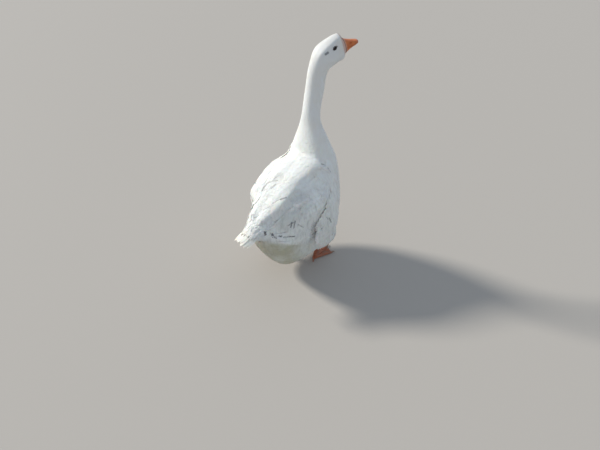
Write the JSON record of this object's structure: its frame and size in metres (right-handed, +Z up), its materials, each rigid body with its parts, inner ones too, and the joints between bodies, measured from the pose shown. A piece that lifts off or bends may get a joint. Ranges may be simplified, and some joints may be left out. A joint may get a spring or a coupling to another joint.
{
  "type": "kuban goose",
  "caption": "Life-size white domestic goose standing with its neck raised, its head turned a little to its right, wings folded, with an orange bill and webbed feet",
  "frame": {"origin": "middle of the bounding box in X and Y, on the floor under the feet", "axes": "+Z up, the goose faces -Y, its left side is +X"},
  "size_m": [0.2818, 0.5006, 0.805],
  "materials": {
    "plumage": "soft white feathers",
    "bill": "satin orange horn",
    "leg_skin": "scaly orange-red skin",
    "eye": "glossy dark"
  },
  "bodies": {
    "root": {"torso": "plumage", "lower_neck": "plumage", "upper_neck": "plumage", "head": "plumage", "tail": "plumage", "left_wing": "plumage", "right_wing": "plumage", "left_thigh": "plumage", "right_thigh": "plumage", "upper_bill": "bill", "lower_bill": "bill", "left_leg": "leg_skin", "right_leg": "leg_skin", "left_eye": "eye", "right_eye": "eye"}
  },
  "joints": []
}
